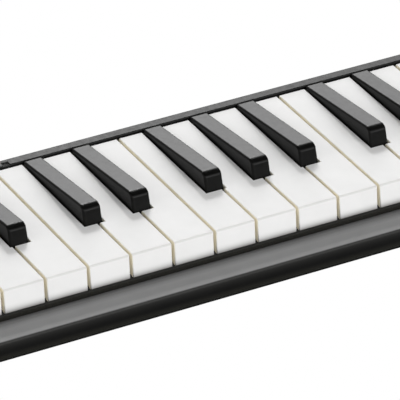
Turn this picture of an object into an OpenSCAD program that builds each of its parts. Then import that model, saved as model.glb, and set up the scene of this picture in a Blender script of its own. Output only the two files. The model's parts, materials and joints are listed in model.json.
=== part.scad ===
// Melodica with 32 keys, F3 to C6, on a two-part casing.
// +X runs along the keyboard to the high notes, -Y is the player's side, Z = 0 is the resting plane.
// Each key is a lever on one steel shaft; its tail carries the pad that closes a valve hole.

/* [Keyboard] */
// Width that one white key takes up along the keyboard
white_pitch = 20.5; // [19:0.1:22]
// Gap between two white keys
key_gap = 1.3; // [0.8:0.1:1.5]
// Length of a white key's top
white_len = 89.5; // [86:0.5:92]
// Width of a black key at the height of the white tops
sharp_w = 9; // [8.4:0.1:9.2]
// Width of the slot between the white keys that a black key stands in
slot_w = 10; // [9.8:0.1:10.4]
// Height of a black key's front edge above the white tops
sharp_front_h = 7.7; // [6:0.1:9]
// Height of a black key's rear edge above the white tops
sharp_rear_h = 1.4; // [1:0.1:3]

/* [Casing] */
// Length of the casing
body_len = 425; // [423:1:440]
// Depth of the casing
body_depth = 113.4; // [113:0.2:116]
// Height of the white key tops above the resting plane
white_z = 39.4; // [39:0.1:42]
// Height of the rear rail above the white tops
rail_rise = 1; // [0.6:0.1:2]
// Wall thickness of the casing shells
wall = 2.3; // [2:0.1:2.6]

/* [Action] */
// Diameter of the key shaft
shaft_d = 3; // [2.6:0.1:3.2]
// Radial clearance of the key hubs on the shaft
hub_clear = 0.05; // [0.03:0.01:0.1]
// Thickness of the pad that closes a valve hole
pad_t = 2; // [1.5:0.1:2.2]
// Length of the lowest reed
reed_long = 33; // [28:1:34]
// Length of the highest reed
reed_short = 15; // [12:1:18]

/* [Hidden] */
$fn = 48;

// Notes are numbered in semitones, with C3 = 48.
first_note = 53;
last_note = 84;
letters = ["c", "cs", "d", "ds", "e", "f", "fs", "g", "gs", "a", "as", "b"];
sharps = [false, true, false, true, false, false, true, false, true, false, true, false];
// Number of white keys between C and the note, and how far a black key stands off the gap it straddles
white_steps = [0, 0, 1, 1, 2, 3, 3, 4, 4, 5, 5, 6];
sharp_shifts = [0, -1.75, 0, 1.55, 0, 0, -3.35, 0, -0.15, 0, 3.35, 0];
notes = [for (n = [first_note : last_note]) n];
white_count = 19;

function is_sharp(n) = sharps[n % 12];
function step_of(n) = 7 * floor(n / 12) + white_steps[n % 12];
function key_name(n) = str("key_", letters[n % 12], floor(n / 12) - 1);

keyboard_len = white_count * white_pitch;
// Left edge of a white key's share of the keyboard
function cell_x(n) = (step_of(n) - step_of(first_note)) * white_pitch - keyboard_len / 2;
function sharp_x(n) = cell_x(n) + white_pitch + sharp_shifts[n % 12];
function white_left(n) = cell_x(n) + key_gap / 2;
function white_right(n) = cell_x(n) + white_pitch - key_gap / 2;
function has_slot(n) = n >= first_note && n <= last_note && is_sharp(n);
function tail_left(n) = is_sharp(n) ? sharp_x(n) - sharp_w / 2
    : has_slot(n - 1) ? sharp_x(n - 1) + slot_w / 2 : white_left(n);
function tail_right(n) = is_sharp(n) ? sharp_x(n) + sharp_w / 2
    : has_slot(n + 1) ? sharp_x(n + 1) - slot_w / 2 : white_right(n);
function tail_x(n) = (tail_left(n) + tail_right(n)) / 2;

// Keyboard lines, front to back
front_y = -body_depth / 2;
rear_y = body_depth / 2;
key_front_y = front_y + 17.9;
key_rear_y = key_front_y + white_len;
slot_front_y = key_front_y + 29.8;
sharp_front_y = key_front_y + 30.7;
sharp_top_y = key_front_y + 35.2;
sharp_rear_y = key_front_y + 88.9;
rail_front_y = key_rear_y + 0.8;
lip_inner_y = key_front_y - 3.8;
opening_x = keyboard_len / 2 + 0.9;

// Heights
rail_z = white_z + rail_rise;
lip_z = white_z - 13;
skirt_z = white_z - 10.7;
tail_skirt_z = white_z - 6.5;
split_z = white_z - 23.4;
key_wall = 1.4;
key_top_t = 2.2;
front_draft = 1.2;

// Action
shaft_y = 26;
shaft_z = 29;
hub_r = 3.2;
hub_w = 6;
skirt_step_y = 6;
deck_z = 21;
deck_t = 5;
cell_depth = 3.5;
plate_t = 1.2;
gasket_t = 0.8;
chamber_z = 3.5;
chamber_wall = 1.5;
chamber_x = 200.5;
chamber_front_y = 3;
chamber_rear_y = 50.5;
plate_z = deck_z - deck_t - plate_t;
chamber_top_z = plate_z - gasket_t;
pad_front_y = 38;
pad_rear_y = 47.5;
pad_w = 7.6;
holder_t = 1.5;
seat_z = 34;
cell_rear_y = 47;
cell_w = 7;
reed_w = 2.4;
reed_t = 0.3;

function reed_len(n) = reed_short
    + (reed_long - reed_short) * (last_note - n) / (last_note - first_note);

// Gaps between hubs that hold a shaft post, and those that hold a pair of chamber screws
post_gaps = [0, 4, 9, 13, 17, 21, 25, 30];
screw_gaps = [1, 6, 11, 16, 22, 28];
function gap_x(i) = (tail_x(first_note + i) + tail_x(first_note + i + 1)) / 2;
end_post_x = [tail_x(first_note) - hub_w / 2 - 2, tail_x(last_note) + hub_w / 2 + 2];
post_w = 3;
shaft_x0 = end_post_x[0] - post_w / 2 - 1.6;
shaft_x1 = end_post_x[1] + post_w / 2 + 1.6;
chamber_screw_ys = [6, 47.6];

// Key bed and its felts
bed_z = 20;
bed_t = 2;
bed_front_y = -40.4;
bed_rear_y = 1.6;
white_felt_z = white_z - 15.1;
sharp_felt_z = white_z - 13.9;
bed_screw_xs = [-170, -95, 0, 95, 170];
bed_screw_y = -15;

// Casing screws: a row up through the front taper, and the rear corners
front_screw_at = [[-205, -41], [-100, -45.5], [0, -45.5], [100, -45.5], [205, -41]];
rear_screw_at = [[-205.4, 43], [205.4, 43]];
case_screw_at = concat(front_screw_at, rear_screw_at);
front_head_z = 13.6;
rear_head_z = 3.4;
case_head_t = 1.6;
chamber_foot_at = [for (i = [1, 28]) for (y = chamber_screw_ys) [gap_x(i), y]];

// Hand strap across a recess in the underside
recess_x = 68;
recess_top_z = 9;
recess_rear_y = -1;
strap_w = 22;
strap_y = -15;
strap_t = 1.5;
strap_x = 81;
strap_z = 1.5;
anchor_t = 1;
strap_screw_xs = [-76, 76];
strap_screw_dy = 6;

// Mouthpiece at the low end
blow_y = 27;
blow_z = 9.2;
socket_r = 6.2;
socket_bore_r = 4.6;
socket_face_x = -213.5;
plug_r = 4.5;
plug_end_x = -202;
collar_x = socket_face_x - 0.2;
tip_x = -256;

// Drain valve at the high end
drain_x = 194.5;
drain_y = 27;
drain_stem_r = 1.5;
drain_hole_r = 3.2;
drain_seal_r = 4.4;
drain_button_r = 5;
seal_t = 1.2;

// ---------- shared shapes ----------

// Box from its lowest to its highest corner
module box(lo, hi) {
    translate(lo) cube(hi - lo);
}

// Outline in the Y-Z plane, drawn out along X
module along_x(x0, x1, points) {
    translate([x0, 0, 0]) rotate([90, 0, 90]) linear_extrude(x1 - x0) polygon(points);
}

// Outline in the X-Z plane, drawn out along Y
module along_y(y0, y1, points) {
    translate([0, y1, 0]) rotate([90, 0, 0]) linear_extrude(y1 - y0) polygon(points);
}

// Round bar along X
module bar_x(x0, x1, y, z, r) {
    translate([x0, y, z]) rotate([0, 90, 0]) cylinder(h = x1 - x0, r = r);
}

// Round bar along Z
module bar_z(at, z0, z1, r) {
    translate([at[0], at[1], z0]) cylinder(h = z1 - z0, r = r);
}

// Points on an arc, from angle a0 to a1
function arc(cx, cy, r, a0, a1, steps = 5) =
    [for (i = [0 : steps]) let (a = a0 + (a1 - a0) * i / steps) [cx + r * cos(a), cy + r * sin(a)]];

// Rectangle with round corners, centred on the origin
function round_rect(half_x, half_y, r) = concat(
    arc(half_x - r, half_y - r, r, 0, 90),
    arc(r - half_x, half_y - r, r, 90, 180),
    arc(r - half_x, r - half_y, r, 180, 270),
    arc(half_x - r, r - half_y, r, 270, 360));

// Screw with a flat round head, pointing up (dir = 1) or down (dir = -1) from its head
module screw(at, head_z, dir, len, r, head_r, head_h) {
    translate([at[0], at[1], head_z]) mirror([0, 0, dir < 0 ? 1 : 0]) rotate_extrude()
        polygon([[0, 0], [head_r, 0], [head_r, head_h], [r, head_h], [r, len - r], [0, len]]);
}

// ---------- keys ----------

// Plan of a white key, drawn in by inset: full width in front, the narrow tail between the slots behind
module white_plan(n, inset, z0, z1) {
    y0 = key_front_y - front_draft + inset;
    box([white_left(n) + inset, y0, z0], [white_right(n) - inset, slot_front_y - inset, z1]);
    box([tail_left(n) + inset, y0, z0], [tail_right(n) - inset, key_rear_y - inset, z1]);
}

// Side view of a white key: the front face leans out towards its foot
module white_side(n) {
    edge = 0.7;
    along_x(cell_x(n), cell_x(n) + white_pitch, [
        [key_front_y - front_draft, skirt_z],
        [key_front_y, white_z - edge],
        [key_front_y + edge, white_z],
        [key_rear_y, white_z],
        [key_rear_y, tail_skirt_z],
        [skirt_step_y, tail_skirt_z],
        [skirt_step_y, skirt_z]]);
}

// Hub on the shaft, web to the pad holder, and the seat that the spring pushes up on
module key_action(n, ceiling) {
    x = tail_x(n);
    box([x - hub_w / 2, shaft_y - hub_r, shaft_z], [x + hub_w / 2, shaft_y + hub_r, ceiling]);
    bar_x(x - hub_w / 2, x + hub_w / 2, shaft_y, shaft_z, hub_r);
    holder_z = deck_z + pad_t;
    along_x(x - 1.5, x + 1.5, [
        [shaft_y, shaft_z - 2], [pad_front_y, holder_z + 1], [pad_rear_y, holder_z + 1],
        [pad_rear_y, ceiling], [shaft_y, ceiling]]);
    box([x - pad_w / 2, pad_front_y, holder_z], [x + pad_w / 2, pad_rear_y, holder_z + holder_t]);
    box([x - 2.4, 0.8, seat_z], [x + 2.4, 4.4, ceiling]);
}

module hub_bore(n) {
    x = tail_x(n);
    bar_x(x - hub_w, x + hub_w, shaft_y, shaft_z, shaft_d / 2 + hub_clear);
}

// Felt and rubber pad under the tail, which rests on the valve deck
module key_pad(n) {
    x = tail_x(n);
    color("saddlebrown")
        box([x - pad_w / 2, pad_front_y, deck_z], [x + pad_w / 2, pad_rear_y, deck_z + pad_t]);
}

module white_key(n) {
    ceiling = white_z - key_top_t;
    color("ivory") difference() {
        union() {
            difference() {
                intersection() {
                    white_plan(n, 0, skirt_z - 1, white_z + 1);
                    white_side(n);
                }
                white_plan(n, key_wall, skirt_z - 2, ceiling);
            }
            key_action(n, ceiling + 1);
        }
        hub_bore(n);
    }
    key_pad(n);
}

// Wedge of a black key: slight draft on both flanks, leaning front, bevel, and a top that falls to the rear
module sharp_wedge(n, inset) {
    top_z = white_z + sharp_front_h - inset;
    draft = 0.02 * (sharp_front_h + 1);
    half = sharp_w / 2 - inset;
    x = sharp_x(n);
    intersection() {
        along_y(sharp_front_y - 2, key_rear_y, [
            [x - half, skirt_z - inset], [x - half, white_z],
            [x - half + draft, white_z + sharp_front_h + 1],
            [x + half - draft, white_z + sharp_front_h + 1],
            [x + half, white_z], [x + half, skirt_z - inset]]);
        along_x(x - sharp_w, x + sharp_w, [
            [sharp_front_y + 0.8 + inset, skirt_z - inset * 2],
            [sharp_front_y + inset, white_z - 0.4],
            [sharp_front_y + 2 + inset, top_z - 1.1],
            [sharp_top_y + inset, top_z],
            [sharp_rear_y - inset, white_z + sharp_rear_h - inset],
            [sharp_rear_y - inset, white_z],
            [key_rear_y - 0.4 - inset, white_z - 0.8],
            [key_rear_y - 0.4 - inset, tail_skirt_z - inset * 2],
            [skirt_step_y, tail_skirt_z - inset * 2],
            [skirt_step_y, skirt_z - inset * 2]]);
    }
}

module black_key(n) {
    x = sharp_x(n);
    ceiling = white_z - 1;
    color([0.12, 0.12, 0.12]) difference() {
        union() {
            difference() {
                sharp_wedge(n, 0);
                sharp_wedge(n, key_wall);
            }
            box([x - 3.4, 0, ceiling - 1.6], [x + 3.4, sharp_rear_y - 2, ceiling]);
            key_action(n, ceiling);
        }
        hub_bore(n);
    }
    key_pad(n);
}

module key(n) {
    if (is_sharp(n))
        black_key(n);
    else
        white_key(n);
}

// ---------- casing ----------

// Section of the upper casing at the end cheeks; inset draws the inner hollow
function cheek_section(inset) = let (
        f = front_y + inset, r = rear_y - inset, t = rail_z - inset, lip = lip_z - inset, c = 1.2)
    concat(
        [[f + 2.6, split_z - (inset > 0 ? 1 : 0)], [f + 0.5, split_z + 1.8], [f, split_z + 5],
         [f + 0.2, lip - c], [f + c, lip]],
        [[f + 8, lip]],
        arc(f + 8, lip + 9, 9, 280, 305, 3),
        arc(f + 32, t - 16, 16, 128, 96, 4),
        arc(r - 0.7, t - 0.7, 0.7, 90, 0, 3),
        [[r, split_z + 1.6], [r - 1.2, split_z - (inset > 0 ? 1 : 0)]]);

module upper_block(inset) {
    x = body_len / 2 - inset;
    intersection() {
        along_x(-x, x, cheek_section(inset));
        translate([0, 0, split_z - 2]) linear_extrude(rail_z)
            polygon(round_rect(x, body_depth / 2 - inset, 10 - inset));
    }
}

// Slightly crowned top of the front lip, which falls towards the player
function lip_crown() = [
    [front_y - 1, lip_z - 0.6], [front_y + 1.2, lip_z - 0.3], [front_y + 5.5, lip_z + 0.27],
    [front_y + 9.8, lip_z + 0.6], [lip_inner_y, lip_z + 0.7]];

// Screw posts that hang from the upper shell down to the split
module upper_posts() {
    for (at = front_screw_at)
        bar_z(at, split_z, lip_z - 1, 3);
    for (at = rear_screw_at)
        bar_z(at, split_z, rail_z - 1, 3);
}

module upper_case() {
    color([0.16, 0.16, 0.16]) difference() {
        union() {
            difference() {
                upper_block(0);
                upper_block(wall);
                box([-opening_x, lip_inner_y, 0], [opening_x, rail_front_y, rail_z + 1]);
                along_x(-opening_x, opening_x, concat(
                    lip_crown(),
                    [[rail_front_y, lip_z + 0.7], [rail_front_y, rail_z + 1],
                     [front_y - 1, rail_z + 1]]));
            }
            // Side walls of the key opening and the inner wall behind the front lip
            intersection() {
                upper_block(0);
                for (side = [-1, 1])
                    translate([side * (opening_x + 0.9), 0, 0])
                        box([-0.9, lip_inner_y - 1, shaft_z + 4], [0.9, rail_front_y, rail_z - 1]);
            }
            box([-opening_x, lip_inner_y - 1.8, split_z + 3.4], [opening_x, lip_inner_y, lip_z]);
            upper_posts();
        }
        for (at = case_screw_at)
            bar_z(at, split_z - 1, split_z + 8.4, 1.3);
        // Shallow mark in the rail behind middle C
        translate([tail_x(60), rail_front_y, rail_z])
            box([-2.4, -1, -0.5], [2.4, 2.8, 1]);
    }
}

// Tapered tub of the lower casing
module lower_block(inset) {
    x = body_len / 2 - 1.4 - inset;
    f = front_y + 3.4 + inset * 1.25;
    r = rear_y - 1.4 - inset;
    top = split_z + (inset > 0 ? 1 : 0);
    b = inset;
    intersection() {
        along_x(-x, x, concat(
            [[f, top], [f + 0.6, split_z - 2], [f + 21, b + 1.6], [f + 24, b]],
            arc(r - 4.6, b + 3, 3, 270, 345, 3),
            [[r, top]]));
        along_y(front_y, rear_y, [
            [-x, top], [-x + 1.4, b + 3], [-x + 3.4, b], [x - 3.4, b], [x - 1.4, b + 3], [x, top]]);
        translate([0, 0, -1]) linear_extrude(split_z + 4)
            polygon(round_rect(x, body_depth / 2 - 1.4 - inset, 8.6 - inset));
    }
}

// Posts of the lower shell for the casing screws, the key bed and the chamber feet
module lower_posts() {
    for (at = case_screw_at)
        bar_z(at, 0.5, split_z, 4);
    for (x = bed_screw_xs)
        bar_z([x, bed_screw_y], 0.5, bed_z, 3);
    for (at = chamber_foot_at)
        bar_z(at, 0.5, chamber_z, 3);
}

module lower_case() {
    color([0.13, 0.13, 0.13]) difference() {
        union() {
            difference() {
                lower_block(0);
                lower_block(wall);
            }
            intersection() {
                lower_block(0);
                union() {
                    lower_posts();
                    // Shell round the strap recess
                    box([-recess_x - wall, front_y, 0],
                        [recess_x + wall, recess_rear_y + wall, recess_top_z + wall]);
                    // Blocks that the strap ends are screwed to
                    for (side = [-1, 1])
                        translate([side * (recess_x + 8), strap_y, 0])
                            box([-9, -strap_w / 2 - 2, 0], [9, strap_w / 2 + 2, recess_top_z]);
                }
            }
            for (x = bed_screw_xs)
                bar_z([x, bed_screw_y], recess_top_z, bed_z, 3);
        }
        // Strap recess, open to the front, and the shallow beds of the strap ends
        box([-recess_x, front_y - 1, -1], [recess_x, recess_rear_y, recess_top_z]);
        box([-strap_x - 1, strap_y - strap_w / 2 - 0.5, -1],
            [strap_x + 1, strap_y + strap_w / 2 + 0.5, strap_z + strap_t]);
        for (at = front_screw_at)
            bar_z(at, -1, front_head_z, 3);
        for (at = rear_screw_at)
            bar_z(at, -1, rear_head_z, 3);
        for (at = case_screw_at)
            bar_z(at, 0, split_z + 1, 1.5);
        for (x = bed_screw_xs)
            bar_z([x, bed_screw_y], recess_top_z + 3, bed_z + 1, 1.1);
        for (at = chamber_foot_at) {
            bar_z(at, -1, 2, 2.8);
            bar_z(at, 0, chamber_z + 1, 1.3);
        }
        for (x = strap_screw_xs)
            for (side = [-1, 1])
                bar_z([x, strap_y + side * strap_screw_dy], 1, 8.2, 1.1);
        bar_x(-body_len, -body_len / 2 + 10, blow_y, blow_z, socket_r + 0.1);
        bar_z([drain_x, drain_y], -1, chamber_z, drain_button_r + 0.1);
    }
}

module case_screws() {
    color("dimgray") {
        for (at = front_screw_at)
            screw(at, front_head_z - case_head_t, 1, 12, 1.25, 2.7, case_head_t);
        for (at = rear_screw_at)
            screw(at, rear_head_z - case_head_t, 1, 20, 1.25, 2.7, case_head_t);
        for (at = chamber_foot_at)
            screw(at, 0.6, 1, 8, 1.1, 2.4, 1.4);
    }
}

// ---------- wind chamber and reeds ----------

function chamber_screw_at() = [for (i = screw_gaps) for (y = chamber_screw_ys) [gap_x(i), y]];

module wind_chamber() {
    color([0.75, 0.74, 0.7]) difference() {
        union() {
            difference() {
                box([-chamber_x, chamber_front_y, chamber_z], [chamber_x, chamber_rear_y, chamber_top_z]);
                box([-chamber_x + chamber_wall, chamber_front_y + chamber_wall, chamber_z + chamber_wall],
                    [chamber_x - chamber_wall, chamber_rear_y - chamber_wall, chamber_top_z + 1]);
            }
            for (at = chamber_screw_at())
                bar_z(at, chamber_z + 0.5, chamber_top_z, 2.2);
        }
        for (at = chamber_screw_at())
            bar_z(at, chamber_z + 6, chamber_top_z + 1, 0.95);
        for (at = chamber_foot_at)
            bar_z(at, chamber_z - 1, chamber_z + 5.4, 1.15);
        // Chamfer that clears the round inner corner of the lower shell
        along_x(-chamber_x - 1, chamber_x + 1, [
            [chamber_rear_y - 0.9, chamber_z - 0.1], [chamber_rear_y + 0.1, chamber_z - 0.1],
            [chamber_rear_y + 0.1, chamber_z + 0.9]]);
        bar_x(-chamber_x - 1, -chamber_x + 4, blow_y, blow_z, socket_r - 1);
        bar_z([drain_x, drain_y], chamber_z - 1, chamber_z + 3, drain_hole_r);
    }
}

// Frame of soft board between the chamber's rim and the reed plates
module chamber_gasket() {
    rim = 3.4;
    color("darkolivegreen") difference() {
        box([-chamber_x, chamber_front_y, chamber_top_z], [chamber_x, chamber_rear_y, plate_z]);
        difference() {
            box([-chamber_x + rim, chamber_front_y + chamber_wall, chamber_top_z - 1],
                [chamber_x - rim, chamber_rear_y - chamber_wall, plate_z + 1]);
            for (at = chamber_screw_at())
                bar_z(at, chamber_top_z - 2, plate_z + 2, 2.2);
        }
        for (at = chamber_screw_at())
            bar_z(at, chamber_top_z - 3, plate_z + 3, 1.15);
    }
}

// Metal plate with one slot for each reed between two notes
module reed_plate(x0, x1, from, to) {
    color("darkkhaki") difference() {
        box([x0, chamber_front_y, plate_z], [x1, chamber_rear_y, plate_z + plate_t]);
        for (n = [from : to])
            translate([tail_x(n), cell_rear_y - 1, plate_z])
                box([-reed_w / 2 - 0.1, -reed_len(n), -1], [reed_w / 2 + 0.1, -3.4, plate_t + 1]);
        for (at = chamber_screw_at())
            bar_z(at, plate_z - 1, plate_z + plate_t + 1, 1.15);
    }
}

module reed_plate_bass() {
    reed_plate(-chamber_x, -0.6, first_note, 68);
}

module reed_plate_treble() {
    reed_plate(-0.2, chamber_x, 69, last_note);
}

// Each reed is a thin tongue held at its rear end under the plate
module reeds() {
    color("gold") for (n = notes)
        translate([tail_x(n), cell_rear_y - 1, plate_z]) difference() {
            box([-reed_w / 2, 0.3 - reed_len(n), -reed_t], [reed_w / 2, 0, 0]);
            bar_z([0, -1.5], -1, 1, 0.7);
        }
}

module reed_rivets() {
    color("silver") for (n = notes)
        translate([tail_x(n), cell_rear_y - 2.5, plate_z - reed_t]) {
            bar_z([0, 0], -0.5, 0, 1.1);
            bar_z([0, 0], -0.1, reed_t, 0.7);
        }
}

// Deck over the reeds: a channel and a valve hole for each note, and posts that carry the key shaft
module valve_deck() {
    color([0.6, 0.6, 0.58]) difference() {
        union() {
            box([-chamber_x, chamber_front_y, deck_z - deck_t], [chamber_x, chamber_rear_y, deck_z]);
            for (x = concat([for (i = post_gaps) gap_x(i)], end_post_x))
                along_x(x - post_w / 2, x + post_w / 2, [
                    [shaft_y - 5, deck_z - 1], [shaft_y - 2.6, shaft_z + 2.8],
                    [shaft_y + 2.6, shaft_z + 2.8], [shaft_y + 5, deck_z - 1]]);
        }
        for (n = notes)
            translate([tail_x(n), cell_rear_y, deck_z - deck_t]) {
                box([-cell_w / 2, -reed_len(n) - 2, -1], [cell_w / 2, 0, cell_depth]);
                box([-2.3, -7, 0], [2.3, -1.5, deck_t + 1]);
            }
        for (at = chamber_screw_at())
            bar_z(at, deck_z - deck_t - 1, deck_z + 1, 1.15);
        bar_x(-chamber_x, chamber_x, shaft_y, shaft_z, shaft_d / 2 + 0.02);
    }
}

module chamber_screws() {
    color("silver") for (at = chamber_screw_at())
        screw(at, deck_z + 1.2, -1, 12.4, 0.9, 1.9, 1.2);
}

// ---------- action ----------

// Plate under the keys' front half with a guide tooth inside every key
module key_bed() {
    color([0.2, 0.2, 0.2]) difference() {
        union() {
            box([-opening_x + 0.6, bed_front_y, bed_z], [opening_x - 0.6, bed_rear_y, bed_z + bed_t]);
            for (n = notes)
                if (is_sharp(n))
                    translate([sharp_x(n), 0, bed_z + 1]) box([-2.7, -3, 0], [2.7, 0, 12.4]);
                else
                    translate([cell_x(n) + white_pitch / 2, 0, bed_z + 1]) box([-8, -27, 0], [8, -24, 12]);
        }
        for (x = bed_screw_xs)
            bar_z([x, bed_screw_y], bed_z - 1, bed_z + bed_t + 1, 1.3);
    }
}

// Strips that the white and the black keys land on
module stop_felts() {
    color([0.17, 0.16, 0.14]) {
        box([-opening_x + 1, -36, bed_z + bed_t], [opening_x - 1, -30, white_felt_z]);
        box([-opening_x + 1, -7, bed_z + bed_t], [opening_x - 1, -3.6, sharp_felt_z]);
    }
}

module bed_screws() {
    color("silver") for (x = bed_screw_xs)
        screw([x, bed_screw_y], bed_z + bed_t + 1.4, -1, 10, 1.05, 2.4, 1.4);
}

module key_shaft() {
    color("silver") bar_x(shaft_x0, shaft_x1, shaft_y, shaft_z, shaft_d / 2);
}

// Ring clips that keep the shaft from sliding out of its end posts
module shaft_clips() {
    color("dimgray") for (x = [end_post_x[0] - post_w / 2 - 1, end_post_x[1] + post_w / 2 + 0.2])
        difference() {
            bar_x(x, x + 0.8, shaft_y, shaft_z, 2.9);
            bar_x(x - 1, x + 2, shaft_y, shaft_z, shaft_d / 2);
            translate([x - 1, shaft_y - 0.9, shaft_z - 4]) cube([3, 1.8, 4]);
        }
}

// Leaf springs that stand on the deck and push the keys up in front of the shaft
module key_springs() {
    color("lightsteelblue") for (n = notes)
        along_x(tail_x(n) - 1, tail_x(n) + 1, [
            [17, deck_z], [17, deck_z + 0.4], [8.2, deck_z + 0.4], [3, seat_z - 0.5],
            [3.6, seat_z], [1.6, seat_z], [2.5, seat_z - 0.6], [7.8, deck_z]]);
}

// ---------- mouthpiece ----------

module mouthpiece_socket() {
    color([0.1, 0.1, 0.1]) difference() {
        bar_x(socket_face_x, -chamber_x, blow_y, blow_z, socket_r);
        bar_x(socket_face_x - 1, plug_end_x + 0.4, blow_y, blow_z, socket_bore_r);
        bar_x(socket_face_x, -chamber_x + 1, blow_y, blow_z, 3.2);
    }
}

// Tapered plug, collar, and a flat beak with a slot to blow through
module mouthpiece() {
    neck = collar_x - 2.4;
    color([0.1, 0.1, 0.1]) difference() {
        union() {
            bar_x(neck, plug_end_x, blow_y, blow_z, plug_r);
            bar_x(neck, collar_x, blow_y, blow_z, 7.4);
            intersection() {
                along_y(blow_y - 12, blow_y + 12, [
                    [neck, blow_z - 6.2], [neck, blow_z + 6.2], [tip_x + 12, blow_z + 4.2],
                    [tip_x + 2, blow_z + 3.6], [tip_x, blow_z + 2.6],
                    [tip_x, blow_z - 2.6], [tip_x + 2, blow_z - 3.6], [tip_x + 12, blow_z - 4.2]]);
                translate([0, blow_y, 0]) linear_extrude(2 * blow_z) polygon([
                    [neck, -6.2], [tip_x + 16, -7.6], [tip_x + 3, -9], [tip_x, -7.6],
                    [tip_x, 7.6], [tip_x + 3, 9], [tip_x + 16, 7.6], [neck, 6.2]]);
            }
        }
        bar_x(tip_x + 14, plug_end_x + 1, blow_y, blow_z, 2.8);
        box([tip_x - 1, blow_y - 5.5, blow_z - 1.3], [tip_x + 16, blow_y + 5.5, blow_z + 1.3]);
        translate([plug_end_x - 6, blow_y, blow_z]) rotate([0, 90, 0]) difference() {
            cylinder(h = 1.6, r = 5);
            translate([0, 0, -1]) cylinder(h = 4, r = 3.8);
        }
    }
}

module mouthpiece_oring() {
    color("darkred") translate([plug_end_x - 5.2, blow_y, blow_z]) rotate([0, 90, 0])
        rotate_extrude() translate([4.2, 0]) circle(r = 0.35);
}

// ---------- drain valve ----------

module drain_button() {
    cap_z = chamber_z + chamber_wall + seal_t;
    color([0.1, 0.1, 0.1]) translate([drain_x, drain_y, 0]) rotate_extrude() polygon([
        [0, 0.5], [drain_button_r - 0.4, 0.5], [drain_button_r, 0.9], [drain_button_r, 1.5],
        [drain_stem_r, 1.5], [drain_stem_r, cap_z], [2.5, cap_z], [2.5, cap_z + 0.6],
        [0, cap_z + 0.6]]);
}

module drain_seal() {
    z = chamber_z + chamber_wall;
    color("firebrick") difference() {
        bar_z([drain_x, drain_y], z, z + seal_t, drain_seal_r);
        bar_z([drain_x, drain_y], z - 1, z + seal_t + 1, drain_stem_r);
    }
}

// Points of a helix swept by a round wire, ring by ring
function coil_points(r, wire_r, z0, z1, turns, rings, sides) =
    [for (i = [0 : rings]) let (a = 360 * turns * i / rings, z = z0 + (z1 - z0) * i / rings)
        for (j = [0 : sides - 1]) let (b = 360 * j / sides, q = r + wire_r * cos(b))
            [q * cos(a), q * sin(a), z + wire_r * sin(b)]];

module drain_spring() {
    z0 = chamber_z + chamber_wall + seal_t + 0.6;
    wire_r = 0.3;
    rings = 60;
    sides = 6;
    sweep = [for (i = [0 : rings - 1]) for (j = [0 : sides - 1]) let (k = (j + 1) % sides)
        [i * sides + j, (i + 1) * sides + j, (i + 1) * sides + k, i * sides + k]];
    caps = [[for (j = [0 : sides - 1]) j], [for (j = [0 : sides - 1]) rings * sides + sides - 1 - j]];
    points = coil_points(2.1, wire_r, z0 + wire_r, plate_z - wire_r, 5, rings, sides);
    color("silver") translate([drain_x, drain_y, 0]) polyhedron(points, concat(sweep, caps));
}

// ---------- hand strap ----------

module hand_strap() {
    color([0.2, 0.2, 0.22]) difference() {
        translate([0, strap_y, strap_z])
            box([-strap_x, -strap_w / 2, 0], [strap_x, strap_w / 2, strap_t]);
        for (x = strap_screw_xs)
            for (side = [-1, 1])
                bar_z([x, strap_y + side * strap_screw_dy], 0, strap_z + strap_t + 1, 1.15);
    }
}

module strap_anchors() {
    color("silver") for (x = strap_screw_xs)
        difference() {
            box([x - 5, strap_y - strap_w / 2, strap_z - anchor_t], [x + 5, strap_y + strap_w / 2, strap_z]);
            for (side = [-1, 1])
                bar_z([x, strap_y + side * strap_screw_dy], -1, strap_z + 1, 1.15);
        }
}

module strap_screws() {
    color("dimgray") for (x = strap_screw_xs)
        for (side = [-1, 1])
            screw([x, strap_y + side * strap_screw_dy], strap_z - anchor_t - 0.4, 1, 7.4, 1.05, 2.2, 0.4);
}

// ---------- output ----------

for (n = notes)
    key(n);
upper_case();
lower_case();
valve_deck();
wind_chamber();
chamber_gasket();
reed_plate_bass();
reed_plate_treble();
reeds();
reed_rivets();
chamber_screws();
key_bed();
stop_felts();
bed_screws();
key_shaft();
shaft_clips();
key_springs();
mouthpiece_socket();
mouthpiece();
mouthpiece_oring();
drain_button();
drain_seal();
drain_spring();
hand_strap();
strap_anchors();
strap_screws();
case_screws();
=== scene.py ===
"""Melodica: detailed pieces, materials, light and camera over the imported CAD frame."""

import json
import math

import bmesh
import bpy
from mathutils import Matrix, Vector


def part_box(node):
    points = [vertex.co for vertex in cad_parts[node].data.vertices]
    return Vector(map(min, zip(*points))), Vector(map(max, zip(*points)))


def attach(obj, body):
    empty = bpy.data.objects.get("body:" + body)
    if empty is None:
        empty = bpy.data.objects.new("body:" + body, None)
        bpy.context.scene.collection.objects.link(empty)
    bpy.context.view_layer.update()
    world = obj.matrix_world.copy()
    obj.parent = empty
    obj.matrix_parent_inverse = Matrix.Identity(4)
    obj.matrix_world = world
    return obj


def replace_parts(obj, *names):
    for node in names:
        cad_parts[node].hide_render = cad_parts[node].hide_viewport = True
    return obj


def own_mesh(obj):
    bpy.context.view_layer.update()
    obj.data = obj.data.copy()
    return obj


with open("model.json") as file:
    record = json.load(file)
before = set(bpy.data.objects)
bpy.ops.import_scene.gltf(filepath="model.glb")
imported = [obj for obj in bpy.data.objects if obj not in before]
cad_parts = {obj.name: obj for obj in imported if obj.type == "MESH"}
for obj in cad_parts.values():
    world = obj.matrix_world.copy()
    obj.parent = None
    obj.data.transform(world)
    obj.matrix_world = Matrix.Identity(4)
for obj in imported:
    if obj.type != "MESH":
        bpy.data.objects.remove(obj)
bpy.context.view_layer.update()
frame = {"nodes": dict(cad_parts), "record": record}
NODES = frame["nodes"]
MM = 0.001

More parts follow.
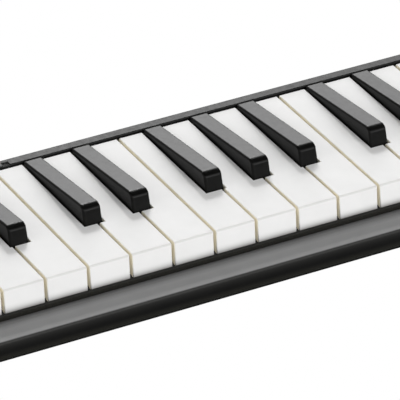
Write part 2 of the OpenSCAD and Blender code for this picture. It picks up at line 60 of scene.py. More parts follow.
# Heights and lines of the CAD model, in millimetres
WHITE_TOP = 39.4
SKIRT = 28.7
SPLIT = 16.0
LIP = 26.4
RAIL = 40.4
DECK = 21.0
PAD_TOP = 23.0
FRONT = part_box("upper_case")[0].y / MM
SIDE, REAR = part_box("upper_case")[1].x / MM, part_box("upper_case")[1].y / MM
KEY_FRONT = FRONT + 17.9
SHARP_FRONT = KEY_FRONT + 30.7
SHARP_CREST = KEY_FRONT + 35.2
KEY_REAR = KEY_FRONT + 89.5
RAIL_FRONT = KEY_REAR + 0.8

# Radii that weight 1 stands for in the rounding of edges, in millimetres
KEY_ROUND = 1.2
UPPER_ROUND = 0.45
LOWER_ROUND = 0.4


# ---------- camera, floor and light ----------


def add_camera():
    """Camera at the photograph's angle: azimuth, elevation and roll in degrees."""
    azimuth, elevation, roll = (math.radians(a) for a in (-29.08, 31.10, 0.58))
    target = Vector((-44.33, KEY_FRONT + 25.97, WHITE_TOP)) * MM
    back = Vector((math.sin(azimuth) * math.cos(elevation),
                   -math.cos(azimuth) * math.cos(elevation), math.sin(elevation)))
    right = Vector((math.cos(azimuth), math.sin(azimuth), 0))
    up = back.cross(right)
    side = right * math.cos(roll) + up * math.sin(roll)
    top = up * math.cos(roll) - right * math.sin(roll)
    camera = bpy.data.objects.new("camera", bpy.data.cameras.new("camera"))
    camera.data.lens = 415.85
    camera.data.sensor_width = 36
    camera.data.clip_start, camera.data.clip_end = 0.1, 50
    turn = Matrix((side, top, back)).transposed().to_4x4()
    camera.matrix_world = Matrix.Translation(target + back * 2.0132) @ turn
    bpy.context.scene.collection.objects.link(camera)
    bpy.context.scene.camera = camera


def add_softbox(name, direction, distance, width, height, radiance):
    """Rectangular light that faces the object from a direction."""
    light = bpy.data.lights.new(name, "AREA")
    light.shape = "RECTANGLE"
    light.size, light.size_y = width, height
    light.energy = radiance * width * height * math.pi
    lamp = bpy.data.objects.new(name, light)
    away = Vector(direction).normalized()
    lamp.rotation_euler = away.to_track_quat("Z", "Y").to_euler()
    lamp.location = away * distance
    lamp.visible_camera = False
    bpy.context.scene.collection.objects.link(lamp)


def add_world():
    """Pale horizon and a dark overhead, plain white where the camera looks past the floor."""
    world = bpy.data.worlds.new("studio")
    bpy.context.scene.world = world
    world.use_nodes = True
    tree = world.node_tree
    tree.nodes.clear()
    out = tree.nodes.new("ShaderNodeOutputWorld")
    room = tree.nodes.new("ShaderNodeBackground")
    plain = tree.nodes.new("ShaderNodeBackground")
    plain.inputs["Color"].default_value = (1, 1, 1, 1)
    mix = tree.nodes.new("ShaderNodeMixShader")
    path = tree.nodes.new("ShaderNodeLightPath")
    place = tree.nodes.new("ShaderNodeTexCoord")
    split = tree.nodes.new("ShaderNodeSeparateXYZ")
    ramp = tree.nodes.new("ShaderNodeValToRGB")
    for stop, grey in zip(ramp.color_ramp.elements, (0.55, 0.01)):
        stop.color = (grey, grey, grey, 1)
    ramp.color_ramp.elements[0].position = 0.60
    ramp.color_ramp.elements[1].position = 0.80
    tree.links.new(place.outputs["Generated"], split.inputs[0])
    tree.links.new(split.outputs["Z"], ramp.inputs["Fac"])
    tree.links.new(ramp.outputs["Color"], room.inputs["Color"])
    tree.links.new(path.outputs["Is Camera Ray"], mix.inputs["Fac"])
    tree.links.new(room.outputs[0], mix.inputs[1])
    tree.links.new(plain.outputs[0], mix.inputs[2])
    tree.links.new(mix.outputs[0], out.inputs["Surface"])


def add_floor():
    """Plain pale floor, evenly white to the camera above it and clear to one under it."""
    mesh = bpy.data.meshes.new("floor")
    r, z = 8, -0.0002
    mesh.from_pydata([(-r, -r, z), (r, -r, z), (r, r, z), (-r, r, z)], [], [(0, 1, 2, 3)])
    floor = bpy.data.objects.new("floor", mesh)
    paint = bpy.data.materials.new("floor_white")
    paint.use_nodes = True
    tree = paint.node_tree
    shader = tree.nodes["Principled BSDF"]
    shader.inputs["Base Color"].default_value = (0.25, 0.25, 0.25, 1)
    shader.inputs["Roughness"].default_value = 0.9
    white = tree.nodes.new("ShaderNodeEmission")
    path = tree.nodes.new("ShaderNodeLightPath")
    mix = tree.nodes.new("ShaderNodeMixShader")
    tree.links.new(path.outputs["Is Camera Ray"], mix.inputs["Fac"])
    tree.links.new(shader.outputs["BSDF"], mix.inputs[1])
    tree.links.new(white.outputs["Emission"], mix.inputs[2])
    side = tree.nodes.new("ShaderNodeNewGeometry")
    see_through = tree.nodes.new("ShaderNodeMixShader")
    tree.links.new(side.outputs["Backfacing"], see_through.inputs["Fac"])
    tree.links.new(mix.outputs[0], see_through.inputs[1])
    tree.links.new(tree.nodes.new("ShaderNodeBsdfTransparent").outputs[0], see_through.inputs[2])
    tree.links.new(see_through.outputs[0], tree.nodes["Material Output"].inputs["Surface"])
    mesh.materials.append(paint)
    bpy.context.scene.collection.objects.link(floor)


# ---------- materials ----------


class Finish:
    """One slot's procedural material: noise and weave feed a Principled shader."""

    def __init__(self, name):
        self.material = bpy.data.materials.new(name)
        self.material.use_nodes = True
        self.tree = self.material.node_tree
        self.shader = self.tree.nodes["Principled BSDF"]
        self.place = self.add("ShaderNodeTexCoord").outputs["Object"]

    def add(self, kind, **values):
        """New node of a kind, with its properties set."""
        node = self.tree.nodes.new(kind)
        for name, value in values.items():
            setattr(node, name, value)
        return node

    def link(self, a, b):
        self.tree.links.new(a, b)

    def set(self, **values):
        """Constants on the shader's own sockets."""
        for name, value in values.items():
            self.shader.inputs[name.replace("_", " ")].default_value = value
        return self

    def noise(self, size, detail=2.0, stretch=None):
        """Noise whose features are about size millimetres, stretched along an axis if asked."""
        node = self.add("ShaderNodeTexNoise")
        node.inputs["Scale"].default_value = 1 / (size * MM)
        node.inputs["Detail"].default_value = detail
        place = self.place
        if stretch:
            mapping = self.add("ShaderNodeMapping")
            mapping.inputs["Scale"].default_value = stretch
            self.link(place, mapping.inputs["Vector"])
            place = mapping.outputs["Vector"]
        self.link(place, node.inputs["Vector"])
        return node.outputs["Fac"]

    def spread(self, value, low, high, at=(0.3, 0.7)):
        """Value taken from the range at to low..high."""
        node = self.add("ShaderNodeMapRange")
        for name, number in zip(("From Min", "From Max", "To Min", "To Max"), (*at, low, high)):
            node.inputs[name].default_value = number
        self.link(value, node.inputs["Value"])
        return node.outputs["Result"]

    def tint(self, factor, a, b):
        """Colour from a to b by factor."""
        node = self.add("ShaderNodeMix", data_type="RGBA")
        for socket, colour in ((6, a), (7, b)):
            if isinstance(colour, tuple):
                node.inputs[socket].default_value = (*colour, 1)
            else:
                self.link(colour, node.inputs[socket])
        self.link(factor, node.inputs["Factor"])
        return node.outputs[2]

    def math(self, operation, a, b=None):
        """Result of an operation on one or two values."""
        node = self.add("ShaderNodeMath", operation=operation)
        self.link(a, node.inputs[0])
        if b:
            self.link(b, node.inputs[1])
        return node.outputs[0]

    def colour(self, source):
        """Base colour from a node."""
        self.link(source, self.shader.inputs["Base Color"])

    def rough(self, source):
        """Roughness from a node."""
        self.link(source, self.shader.inputs["Roughness"])

    def bump(self, height, depth, strength=1.0):
        """Bump of depth millimetres."""
        node = self.add("ShaderNodeBump")
        node.inputs["Strength"].default_value = strength
        node.inputs["Distance"].default_value = depth * MM
        self.link(height, node.inputs["Height"])
        self.link(node.outputs["Normal"], self.shader.inputs["Normal"])


def white_plastic():
    """Moulded key plastic, with painted light: flanks painted a warm ivory for the light bounced between
    keys, a painted shade line along the front top edge, and painted shade darkening the foot.
    """
    f = Finish("key_white")
    f.set(IOR=1.5, Specular_IOR_Level=0.1)
    cloud = f.spread(f.noise(9), 0, 1)
    top = f.tint(cloud, (0.845, 0.843, 0.836), (0.87, 0.868, 0.862))
    normal = f.add("ShaderNodeSeparateXYZ")
    f.link(f.add("ShaderNodeTexCoord").outputs["Normal"], normal.inputs[0])
    flank = f.math("ABSOLUTE", normal.outputs["X"])
    edge = f.math("MULTIPLY", normal.outputs["Y"], f.math("ABSOLUTE", normal.outputs["Z"]))
    # painted light: the flanks are tinted warm beige, standing in for light bounced between neighbouring
    # keys; the tops stay neutral
    sides = f.tint(f.spread(flank, 0, 1, (0.45, 0.85)), top, (0.96, 0.91, 0.77))
    # painted shade: a dull grey line where the rounded front top edge turns from the top to the front
    painted_crease_shade = f.tint(f.spread(edge, 1, 0, (-0.46, -0.25)), sides, (0.74, 0.735, 0.715))
    height = f.add("ShaderNodeSeparateXYZ")
    f.link(f.place, height.inputs[0])
    foot = f.spread(height.outputs["Z"], 1, 0, ((SKIRT - 0.8) * MM, (SKIRT + 3.6) * MM))
    ahead = f.spread(height.outputs["Y"], 1, 0, ((KEY_FRONT + 1) * MM, (KEY_FRONT + 3) * MM))
    facing = f.math("MULTIPLY", ahead, f.spread(flank, 1, 0, (0.45, 0.85)))
    # painted shade: the front face is darkened towards its foot, near black at the bottom, standing in
    # for the shade there
    shade = f.math("MULTIPLY", f.math("MULTIPLY", foot, foot), facing)
    f.colour(f.tint(shade, painted_crease_shade, (0.05, 0.047, 0.038)))
    f.rough(f.spread(f.noise(1.2), 0.46, 0.54))
    f.bump(f.noise(0.35, 3), 0.004, 0.5)
    return f.material


def satin_black(name, colour, rough, grain, gloss=0.5):
    """Dark moulded plastic with a fine texture and slightly uneven gloss."""
    f = Finish(name)
    f.set(IOR=1.5, Specular_IOR_Level=gloss)
    cloud = f.spread(f.noise(14), 0, 1)
    f.colour(f.tint(cloud, tuple(c * 0.85 for c in colour), tuple(c * 1.15 for c in colour)))
    f.rough(f.spread(f.noise(2.5), rough - 0.03, rough + 0.04))
    f.bump(f.noise(0.25, 3), grain, 0.6)
    return f.material


def casing_plastic():
    """Black casing with painted light: a painted sheen makes the upward faces of the front lip matt grey,
    fading to black towards the keys; a painted sheen fades down over the top of its nose, and painted
    light makes a paler chin.
    """
    f = Finish("casing_satin_black")
    f.set(IOR=1.5, Specular_IOR_Level=0.2)
    cloud = f.spread(f.noise(14), 0, 1)
    black = f.tint(cloud, (0.0030, 0.0030, 0.0028), (0.0042, 0.0042, 0.0038))
    # painted sheen: grey for the upward faces of the front lip, standing in for the light they catch; it
    # fades to black towards the keys
    grey = f.tint(cloud, (0.29, 0.29, 0.29), (0.31, 0.31, 0.31))
    normal = f.add("ShaderNodeSeparateXYZ")
    f.link(f.add("ShaderNodeTexCoord").outputs["Normal"], normal.inputs[0])
    place = f.add("ShaderNodeSeparateXYZ")
    f.link(f.place, place.inputs[0])
    upward = f.spread(normal.outputs["Z"], 0, 1, (0.80, 0.98))
    ahead = f.spread(place.outputs["Y"], 1, 0, ((FRONT + 8.2) * MM, (FRONT + 14.9) * MM))
    nose = f.spread(place.outputs["Y"], 1, 0, ((FRONT + 2) * MM, (FRONT + 5) * MM))
    brow = f.spread(place.outputs["Z"], 0, 1, ((LIP - 5.5) * MM, (LIP + 0.2) * MM))
    chin = f.spread(place.outputs["Z"], 1, 0, ((SPLIT + 2.4) * MM, (SPLIT + 4.6) * MM))
    # painted sheen: the top of the nose is lighter, fading downward to black
    nose_painted_sheen = f.tint(f.math("MULTIPLY", f.math("MULTIPLY", brow, brow), nose), black, (0.036, 0.036, 0.034))
    # painted light: a paler band low on the nose, just above the split
    chin_painted_light = f.tint(f.math("MULTIPLY", chin, nose), nose_painted_sheen, (0.015, 0.015, 0.012))
    f.colour(f.tint(f.math("MULTIPLY", upward, ahead), chin_painted_light, grey))
    f.rough(f.spread(f.noise(2.5), 0.47, 0.53))
    f.bump(f.noise(0.25, 3), 0.003, 0.6)
    return f.material


def metal(name, dark, light, rough, brushed):
    """Metal with brushed or tumbled streaks."""
    f = Finish(name)
    f.set(Metallic=1.0)
    streak = f.noise(0.4, 3, (0.06, 1, 1) if brushed else None)
    f.colour(f.tint(f.spread(streak, 0, 1), dark, light))
    f.rough(f.spread(streak, rough - 0.06, rough + 0.08))
    f.bump(streak, 0.004, 0.4)
    return f.material


def felt():
    """Wool felt: matted fibres and soft sheen."""
    f = Finish("felt_dark")
    f.set(Sheen_Weight=0.15, Sheen_Roughness=0.6, Roughness=0.95)
    fibre = f.noise(0.3, 6, (0.4, 1, 1))
    f.colour(f.tint(f.spread(fibre, 0, 1), (0.014, 0.013, 0.009), (0.031, 0.029, 0.021)))
    f.bump(fibre, 0.12, 0.8)
    return f.material


def rubber(name, colour):
    """Dull elastomer with fine dust."""
    f = Finish(name)
    dust = f.spread(f.noise(0.8, 4), 0, 1)
    f.colour(f.tint(dust, colour, tuple(c * 1.5 + 0.01 for c in colour)))
    f.rough(f.spread(dust, 0.55, 0.75, (0, 1)))
    f.bump(f.noise(0.2, 3), 0.01, 0.5)
    return f.material


def webbing():
    """Woven band: warp ribs along X crossed by weft."""
    f = Finish("strap_webbing")
    f.set(Sheen_Weight=0.25, Sheen_Roughness=0.5, Roughness=0.85)
    waves = []
    for axis, pitch in (("X", 0.9), ("Y", 1.1)):
        wave = f.add("ShaderNodeTexWave", wave_type="BANDS", bands_direction=axis)
        wave.inputs["Scale"].default_value = 2 * math.pi / (20 * pitch * MM)
        wave.inputs["Distortion"].default_value = 0.4
        wave.inputs["Detail Scale"].default_value = 40
        f.link(f.place, wave.inputs["Vector"])
        waves.append(wave.outputs["Fac"])
    over = f.math("MULTIPLY", *waves)
    f.colour(f.tint(over, (0.006, 0.006, 0.007), (0.030, 0.030, 0.033)))
    f.bump(over, 0.25, 0.9)
    return f.material


def mark_paint():
    """Dull dark paint in the mark behind middle C."""
    f = Finish("mark_paint")
    f.colour(f.tint(f.spread(f.noise(0.6), 0, 1), (0.010, 0.010, 0.010), (0.016, 0.016, 0.016)))
    f.set(Roughness=0.7, Specular_IOR_Level=0.25)
    return f.material


def make_finishes():
    """Material of every slot in the record."""
    return {
        "key_white": white_plastic(),
        "key_black": satin_black("key_black", (0.003, 0.003, 0.0027), 0.31, 0.0015, 0.12),
        "casing_satin_black": casing_plastic(),
        "inner_black_plastic": satin_black("inner_black_plastic", (0.010, 0.010, 0.010), 0.42, 0.006),
        "mouthpiece_gloss": satin_black("mouthpiece_gloss", (0.007, 0.007, 0.007), 0.14, 0.001),
        "chamber_plastic": satin_black("chamber_plastic", (0.45, 0.43, 0.37), 0.42, 0.006),
        "gasket_board": rubber("gasket_board", (0.07, 0.065, 0.04)),
        "reed_plate_brass": metal("reed_plate_brass", (0.42, 0.31, 0.12), (0.58, 0.45, 0.20), 0.34, True),
        "reed_bronze": metal("reed_bronze", (0.50, 0.30, 0.12), (0.68, 0.44, 0.18), 0.28, True),
        "bright_steel": metal("bright_steel", (0.46, 0.46, 0.47), (0.64, 0.64, 0.65), 0.24, False),
        "dark_steel": metal("dark_steel", (0.030, 0.030, 0.032), (0.06, 0.06, 0.064), 0.36, False),
        "spring_steel": metal("spring_steel", (0.26, 0.27, 0.29), (0.40, 0.41, 0.44), 0.28, True),
        "strap_steel": metal("strap_steel", (0.52, 0.53, 0.54), (0.70, 0.70, 0.71), 0.16, False),
        "felt_dark": felt(),
        "seal_rubber": rubber("seal_rubber", (0.045, 0.016, 0.014)),
        "strap_webbing": webbing(),
    }


# ---------- mesh helpers ----------


def welded(node, floor=None):
    """The node's closed mesh with its triangles joined into whole flat faces.

    With a floor, what lies under that height is left out, and the opening it leaves is closed.
    """
    bm = bmesh.new()
    bm.from_mesh(NODES[node].data)
    if floor:
        under = [f for f in bm.faces if max(v.co.z for v in f.verts) < (floor + 0.01) * MM
                 and (f.normal.z > 0.5 or min(v.co.z for v in f.verts) < (floor - 0.01) * MM)]
        bmesh.ops.delete(bm, geom=under, context="FACES")
    bmesh.ops.remove_doubles(bm, verts=bm.verts, dist=2e-6)
    bmesh.ops.holes_fill(bm, edges=[e for e in bm.edges if e.is_boundary])
    bmesh.ops.dissolve_limit(bm, angle_limit=math.radians(0.5), verts=bm.verts, edges=bm.edges)
    return bm


def islands(bm):
    """Lists of the vertices of each connected solid."""
    left, found = set(bm.verts), []
    while left:
        stack = [left.pop()]
        group = []
        while stack:
            v = stack.pop()
            group.append(v)
            for e in v.link_edges:
                other = e.other_vert(v)
                if other in left:
                    left.remove(other)
                    stack.append(other)
        found.append(group)
    return sorted(found, key=lambda g: min((v.co.x, v.co.y, v.co.z) for v in g))


def weigh_edges(bm, rule, width):
    """Bevel weight of each convex edge, from a rule on its middle, direction and face normals.

    Weight 1 is width millimetres. Edges within a curve turn less than the flattest real one and
    stay as they are, and no edge takes more than its narrower face can give.
    """
    flattest, share = math.radians(16), 0.4
    layer = bm.edges.layers.float.new("bevel_weight_edge")
    for e in bm.edges:
        if len(e.link_faces) != 2 or e.calc_face_angle_signed(0) < flattest:
            continue
        start = e.verts[0].co
        middle = (start + e.verts[1].co) / (2 * MM)
        along = (e.verts[1].co - start).normalized()
        room = min(max((v.co - start).cross(along).length for v in f.verts) for f in e.link_faces)
        weight = rule(middle, along, [f.normal for f in e.link_faces])
        e[layer] = min(weight, share * room / (width * MM))


def add_piece(name, bm, slot, body, width=0.0, segments=3, second=None):
    """New object from bm, with its weighed edges rounded to width millimetres at weight 1.

    Faces with material index 1 take the second material, if there is one.
    """
    mesh = bpy.data.meshes.new(name)
    bm.normal_update()
    bm.to_mesh(mesh)
    bm.free()
    piece = bpy.data.objects.new(name, mesh)
    mesh.materials.append(FINISH[slot])
    if second:
        mesh.materials.append(second)
    bpy.context.scene.collection.objects.link(piece)
    if width:
        bevel = piece.modifiers.new("rounded", "BEVEL")
        bevel.limit_method = "WEIGHT"
        bevel.width = width * MM
        bevel.segments = segments
        bevel.use_clamp_overlap = False
        bevel.miter_outer = "MITER_ARC"
    mesh.shade_smooth()
    mesh.set_sharp_from_angle(angle=math.radians(36))
    even = piece.modifiers.new("even_shading", "WEIGHTED_NORMAL")
    even.keep_sharp = True
    even.weight = 100
    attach(piece, body)
    return piece


# ---------- keys ----------


def white_edges(middle, along, normals):
    """Soft top edges, a crease in front, rounded front corners and a foot that curls under."""
    if middle.z < SKIRT - 0.7 or middle.y > KEY_REAR + 0.1:
        return 0.0
    if middle.y < KEY_FRONT + 0.1 and abs(along.z) > 0.9:
        return 0.45
    if middle.z > WHITE_TOP - 0.8:
        return 0.3
    if middle.y < KEY_FRONT and abs(along.x) > 0.9:
        return 0.4
    return 0.0


def black_edges(middle, along, normals):
    """Round front corners and crest, softer flanks, and nothing below the white keys' tops."""
    if middle.z < WHITE_TOP - 1.5 or max(abs(n.z) for n in normals) > 0.9999:
        return 0.0
    if middle.z < WHITE_TOP and abs(along.x) > 0.9:
        return 0.0
    if middle.y < SHARP_FRONT + 3 and abs(along.x) < 0.5:
        return 1.0
    if middle.y > KEY_REAR - 1:
        return 0.2
    return 0.85 if abs(along.x) > 0.9 and middle.y < SHARP_CREST - 1 else 0.7


def add_pad(name):
    """Valve pad under a key's tail: felt with soft edges and a slight crown."""
    low = [v.co for v in NODES[name].data.vertices if v.co.z < (DECK + 0.01) * MM]
    lo = Vector([min(v[i] for v in low) for i in range(3)])
    hi = Vector([max(v[i] for v in low) for i in range(3)])
    hi.z = PAD_TOP * MM
    bm = bmesh.new()
    bmesh.ops.create_grid(bm, x_segments=8, y_segments=8, size=0.5)
    lifted = bmesh.ops.extrude_face_region(bm, geom=bm.faces[:] + bm.edges[:] + bm.verts[:])["geom"]
    for v in bm.verts:
        u, w = v.co.x * 2, v.co.y * 2
        droop = 0.06 * (u ** 4 + w ** 4)
        v.co.z = 1 - droop if v in lifted else droop
        v.co = Vector([lo[i] + (hi[i] - lo[i]) * (v.co[i] + (0.5 if i < 2 else 0)) for i in range(3)])
    bmesh.ops.recalc_face_normals(bm, faces=bm.faces)
    add_piece(name + "_pad", bm, "felt_dark", name)


def lower_foot(bm):
    """The front wall of a white key reaches a little lower than its sides."""
    bmesh.ops.bisect_plane(bm, geom=bm.verts[:] + bm.edges[:] + bm.faces[:], dist=1e-6,
                           plane_co=(0, (KEY_FRONT + 1.9) * MM, 0), plane_no=(0, 1, 0))
    for v in bm.verts:
        if v.co.y < (KEY_FRONT + 1.8) * MM and v.co.z < (SKIRT + 0.1) * MM:
            v.co.z -= 0.6 * MM


def add_key(name):
    """Key lever in its own plastic, and the felt pad under its tail."""
    black = "s" in name[5:]
    bm = welded(name, PAD_TOP)
    if not black:
        lower_foot(bm)
    weigh_edges(bm, black_edges if black else white_edges, KEY_ROUND)
    slot = "key_black" if black else "key_white"
    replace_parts(add_piece(name + "_lever", bm, slot, name, KEY_ROUND, 4), name)
    add_pad(name)


# ---------- casing ----------


def upper_edges(middle, along, normals):
    """Outer corners of the upper shell and the rim of the key opening; the rail is round already."""
    if middle.z > RAIL - 0.6 and middle.y > REAR - 0.7:
        return 0.0
    outside = abs(middle.x) > SIDE - 1.5 or middle.y < FRONT + 2.7 or middle.y > REAR - 2.2
    if middle.z < SPLIT + 0.1:
        return 0.4 if outside else 0.0
    if outside or middle.z > LIP - 1.5:
        return 1.0
    return 0.0


def lower_edges(middle, along, normals):
    """Outer corners of the lower shell, and finer edges on what opens in its underside."""
    outside = abs(middle.x) > SIDE - 3.5 or middle.y < FRONT + 6.7 or middle.y > REAR - 3.7
    underside = middle.z < 1.7
    if middle.z > SPLIT - 0.1:
        return 0.8 if outside else 0.0
    if outside or underside and middle.y < FRONT + 28.7:
        return 1.0
    return 0.3 if underside else 0.0


def add_upper_case():
    """Upper shell; the shallow mark behind middle C is narrowed, nudged and painted."""
    narrowing, nudge = 0.68, 0.4 * MM
    bm = welded("upper_case")
    marked = [f for f in bm.faces if RAIL - 1.2 < f.calc_center_median().z / MM < RAIL - 0.2
              and RAIL_FRONT < f.calc_center_median().y / MM < RAIL_FRONT + 3]
    for face in marked:
        face.material_index = 1
    corners = {v for f in marked for v in f.verts}
    middle = sum(v.co.x for v in corners) / len(corners)
    for v in corners:
        v.co.x = middle - nudge + (v.co.x - middle) * narrowing
    weigh_edges(bm, upper_edges, UPPER_ROUND)
    shell = add_piece("casing_top", bm, "casing_satin_black", "body", UPPER_ROUND, 3, mark_paint())
    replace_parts(shell, "upper_case")


def add_lower_case():
    """Lower shell with rounded corners."""
    bm = welded("lower_case")
    weigh_edges(bm, lower_edges, LOWER_ROUND)
    shell = add_piece("casing_tub", bm, "casing_satin_black", "body", LOWER_ROUND, 3)
    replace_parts(shell, "lower_case")


# ---------- screws, mouthpiece, strap, buttons ----------


def ring(bm, radius, z, sides, centre):
    """Level circle of points."""
    return [bm.verts.new((centre[0] + radius * math.cos(2 * math.pi * i / sides) * MM,
                          centre[1] + radius * math.sin(2 * math.pi * i / sides) * MM, z))
            for i in range(sides)]


def skin(bm, a, b):
    """Faces between two rings of the same number of points."""
    for i in range(len(a)):
        k = (i + 1) % len(a)
        bm.faces.new((a[i], a[k], b[k], b[i]))


def add_screw(bm, lo, hi):
    """Pan-head screw with a cross recess that points down, in the space lo..hi."""
    x, y = (lo.x + hi.x) / 2, (lo.y + hi.y) / 2
    head = (hi.x - lo.x) / 2 / MM
    sides = 32
    shank = head * 0.46
    levels = [(head * 0.62, 0), (head * 0.86, 0.12), (head * 0.97, 0.35), (head, 0.65),
              (head, 1.35), (shank, 1.4)]
    z = lo.z
    rings = [ring(bm, r, z + h * MM, sides, (x, y)) for r, h in levels]
    steps = max(3, int((hi.z - lo.z) / MM / 0.8))
    for i in range(steps):
        r = shank * (1.0 if i % 2 else 0.82)
        rings.append(ring(bm, r, z + (1.5 * MM) + (hi.z - lo.z - 2.2 * MM) * i / (steps - 1),
                          sides, (x, y)))
    for a, b in zip(rings, rings[1:]):
        skin(bm, b, a)
    tip = bm.verts.new((x, y, hi.z))
    for i in range(sides):
        bm.faces.new((rings[-1][i], tip, rings[-1][(i + 1) % sides]))
    arm, half = head * 0.5, head * 0.11
    cross = [(arm, -half), (arm, half), (half, half), (half, arm), (-half, arm), (-half, half),
             (-arm, half), (-arm, -half), (-half, -half), (-half, -arm), (half, -arm), (half, -half)]
    rim = [bm.verts.new((x + u * MM, y + v * MM, z)) for u, v in cross]
    deep = [bm.verts.new((x + u * 0.7 * MM, y + v * 0.7 * MM, z + 0.9 * MM)) for u, v in cross]
    skin(bm, rim, deep)
    bm.faces.new(deep)
    outline = [bm.edges.get((rings[0][i], rings[0][(i + 1) % sides])) for i in range(sides)]
    outline += [bm.edges.get((rim[i], rim[(i + 1) % 12])) for i in range(12)]
    bmesh.ops.triangle_fill(bm, use_beauty=True, edges=outline)


def add_screws(node, name, slot):
    """All of a node's screws as one group."""
    source = welded(node)
    bm = bmesh.new()
    for group in islands(source):
        lo = Vector([min(v.co[i] for v in group) for i in range(3)])
        hi = Vector([max(v.co[i] for v in group) for i in range(3)])
        add_screw(bm, lo, hi)
    source.free()
    bmesh.ops.recalc_face_normals(bm, faces=bm.faces)
    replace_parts(add_piece(name, bm, slot, "body"), node)


def oval(half_y, half_z, power, sides):
    """Points of a superellipse, from an ellipse at power 2 towards a rectangle."""
    points = []
    for i in range(sides):
        c, s = math.cos(2 * math.pi * i / sides), math.sin(2 * math.pi * i / sides)
        points.append((math.copysign(abs(c) ** (2 / power), c) * half_y,
                       math.copysign(abs(s) ** (2 / power), s) * half_z))
    return points


def lofted(bm, stations, centre, sides=48):
    """Skin through ovals: each station is x, half width, half thickness and power."""
    y, z = centre
    rings = [[bm.verts.new((x * MM, (y + a) * MM, (z + b) * MM)) for a, b in oval(w, t, p, sides)]
             for x, w, t, p in stations]
    for a, b in zip(rings, rings[1:]):
        skin(bm, a, b)
    bm.faces.new(rings[0])
    bm.faces.new(rings[-1])


def add_mouthpiece():
    """Beak with a blowing slot, round collar and plug, lofted along X."""
    lo, hi = (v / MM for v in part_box("mouthpiece"))
    centre = ((lo.y + hi.y) / 2, (lo.z + hi.z) / 2)
    tip, plug = lo.x, hi.x
    bm = bmesh.new()
    slot = [(tip + 14, 2.4, 1.2, 2), (tip + 9, 4.6, 1.3, 3), (tip + 1.2, 5.4, 1.3, 4),
            (tip + 0.3, 5.6, 1.5, 4), (tip, 6.0, 1.9, 3.6)]
    lips = [(tip, 7.4, 2.5, 3), (tip + 0.5, 8.2, 3.0, 2.9), (tip + 1.6, 8.8, 3.4, 2.8),
            (tip + 3.2, 9.0, 3.6, 2.7), (tip + 7, 8.6, 3.9, 2.6), (tip + 12, 8.0, 4.2, 2.5),
            (tip + 18, 7.3, 4.7, 2.4), (tip + 26, 6.7, 5.4, 2.2), (tip + 33, 6.3, 5.9, 2.0),
            (tip + 37, 6.2, 6.2, 2.0), (tip + 37.5, 6.4, 6.4, 2.0), (tip + 37.6, 7.0, 7.0, 2.0),
            (tip + 37.9, 7.4, 7.4, 2.0), (tip + 40.0, 7.4, 7.4, 2.0), (tip + 40.3, 7.1, 7.1, 2.0),
            (tip + 40.3, 4.6, 4.6, 2.0), (tip + 40.6, 4.5, 4.5, 2.0), (plug - 6.0, 4.48, 4.48, 2.0),
            (plug - 5.9, 3.9, 3.9, 2.0), (plug - 4.5, 3.9, 3.9, 2.0), (plug - 4.4, 4.46, 4.46, 2.0),
            (plug - 0.6, 4.4, 4.4, 2.0), (plug, 4.0, 4.0, 2.0), (plug, 2.8, 2.8, 2.0),
            (plug - 12, 2.8, 2.8, 2.0)]
    lofted(bm, slot + lips, centre)
    bmesh.ops.recalc_face_normals(bm, faces=bm.faces)
    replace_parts(add_piece("mouthpiece_beak", bm, "mouthpiece_gloss", "mouthpiece"), "mouthpiece")


def add_strap():
    """Webbing band with thick selvedges and a slight bow, and rows of stitches at its ends."""
    lo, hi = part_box("hand_strap")
    bm = bmesh.new()
    across = [(-1.0, 0.34), (-0.995, 0.80), (-0.96, 1.0), (-0.90, 0.97), (-0.87, 0.84), (-0.6, 0.80),
              (-0.3, 0.80), (0, 0.80), (0.3, 0.80), (0.6, 0.80), (0.87, 0.84), (0.90, 0.97),
              (0.96, 1.0), (0.995, 0.80), (1.0, 0.34)]
    section = across + [(u, -v) for u, v in reversed(across)]
    y, z = (lo.y + hi.y) / 2, (lo.z + hi.z) / 2
    half_w, half_t = (hi.y - lo.y) / 2, (hi.z - lo.z) / 2 * 0.96
    steps = 96
    rings = []
    for i in range(steps + 1):
        x = lo.x + (hi.x - lo.x) * i / steps
        bow = 0.35 * MM * max(0.0, 1 - (x / (66 * MM)) ** 2)
        rings.append([bm.verts.new((x, y + u * half_w, z + v * half_t + bow)) for u, v in section])
    for a, b in zip(rings, rings[1:]):
        skin(bm, a, b)
    bm.faces.new(rings[0])
    bm.faces.new(rings[-1])
    bmesh.ops.recalc_face_normals(bm, faces=bm.faces)
    strap = add_piece("strap_band", bm, "strap_webbing", "body")
    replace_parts(strap, "hand_strap")
    thread = bmesh.new()
    for side in (-1, 1):
        for column in (63.2, 66.0):
            for i in range(9):
                v = -8 + 2 * i
                for face in (-1, 1):
                    bead(thread, (side * column, y / MM + v, z / MM + face * 0.62 + 0.02), 0.75, 0.2)
    bmesh.ops.recalc_face_normals(thread, faces=thread.faces)
    seam = add_piece("strap_stitches", thread, "strap_webbing", "body")


def bead(bm, at, half, r):
    """Small rounded stitch along Y."""
    rings = []
    for t in range(5):
        a = math.pi * (t + 0.5) / 5 - math.pi / 2
        q = r * math.cos(a)
        rings.append([bm.verts.new(((at[0] + q * math.cos(b)) * MM, (at[1] + half * math.sin(a)) * MM,
                                    (at[2] + q * math.sin(b)) * MM))
                      for b in (2 * math.pi * j / 8 for j in range(8))])
    for a, b in zip(rings, rings[1:]):
        skin(bm, a, b)
    bm.faces.new(rings[0])
    bm.faces.new(rings[-1])


def rounded_copy(node, name, slot, body, width):
    """The node's own shape with every convex edge softened."""
    bm = welded(node)
    weigh_edges(bm, lambda middle, along, normals: 1.0, width)
    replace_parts(add_piece(name, bm, slot, body, width, 3), node)


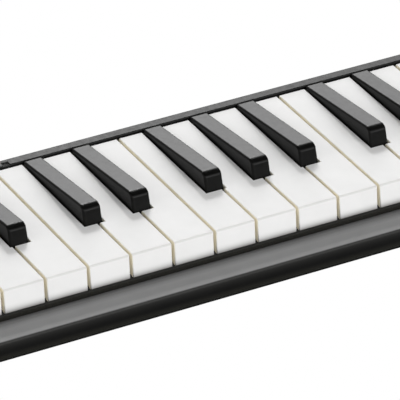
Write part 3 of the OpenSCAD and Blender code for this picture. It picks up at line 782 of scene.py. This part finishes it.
def add_drain_spring():
    """Coil spring of round wire with closed ends."""
    lo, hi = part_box("drain_spring")
    wire = 0.3 * MM
    r = (hi.x - lo.x) / 2 - wire
    cx, cy = (lo.x + hi.x) / 2, (lo.y + hi.y) / 2
    turns, steps, sides = 6, 24, 10
    rings = []
    bm = bmesh.new()
    total = turns * steps
    for i in range(total + 1):
        a = 2 * math.pi * i / steps
        t = i / total
        ease = min(max((t - 0.12) / 0.76, 0), 1)
        z = lo.z + wire + (hi.z - lo.z - 2 * wire) * (0.06 * t + 0.94 * ease)
        rings.append([bm.verts.new((cx + (r + wire * math.cos(b)) * math.cos(a),
                                    cy + (r + wire * math.cos(b)) * math.sin(a),
                                    z + wire * math.sin(b)))
                      for b in (2 * math.pi * j / sides for j in range(sides))])
    for a, b in zip(rings, rings[1:]):
        skin(bm, a, b)
    bm.faces.new(rings[0])
    bm.faces.new(rings[-1])
    bmesh.ops.recalc_face_normals(bm, faces=bm.faces)
    coil = add_piece("drain_coil", bm, "spring_steel", "body")
    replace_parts(coil, "drain_spring")
    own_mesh(coil)


def finish_cad_nodes():
    """Every CAD node that stays visible gets its slot's material."""
    for row in frame["record"]["subparts"]:
        mesh = NODES[row["node"]].data
        mesh.materials.clear()
        mesh.materials.append(FINISH[row["material_slot"]])


add_camera()
add_world()
add_softbox("rear_softbox", (0.44, 0.79, 0.40), 2.2, 1.3, 1.2, 3.9)
add_softbox("key_light", (0.296, 0.755, 0.585), 2.2, 0.28, 0.28, 62.0)
add_softbox("front_softbox", (0.1, -0.9, 0.45), 2.2, 3.0, 1.3, 3.4)
add_softbox("left_softbox", (-0.95, -0.1, 0.35), 2.2, 1.6, 1.0, 1.3)
add_floor()
FINISH = make_finishes()
finish_cad_nodes()
for key in sorted(n for n in NODES if n.startswith("key_") and n[-1].isdigit()):
    add_key(key)
add_upper_case()
add_lower_case()
add_screws("case_screws", "casing_screw_set", "dark_steel")
add_screws("strap_screws", "strap_screw_set", "dark_steel")
add_mouthpiece()
add_strap()
add_drain_spring()
rounded_copy("drain_button", "drain_push", "inner_black_plastic", "drain_button", 0.3)
rounded_copy("mouthpiece_socket", "socket_tube", "inner_black_plastic", "body", 0.3)
rounded_copy("strap_anchors", "strap_plates", "strap_steel", "body", 0.25)
bpy.context.scene.view_settings.view_transform = "Standard"
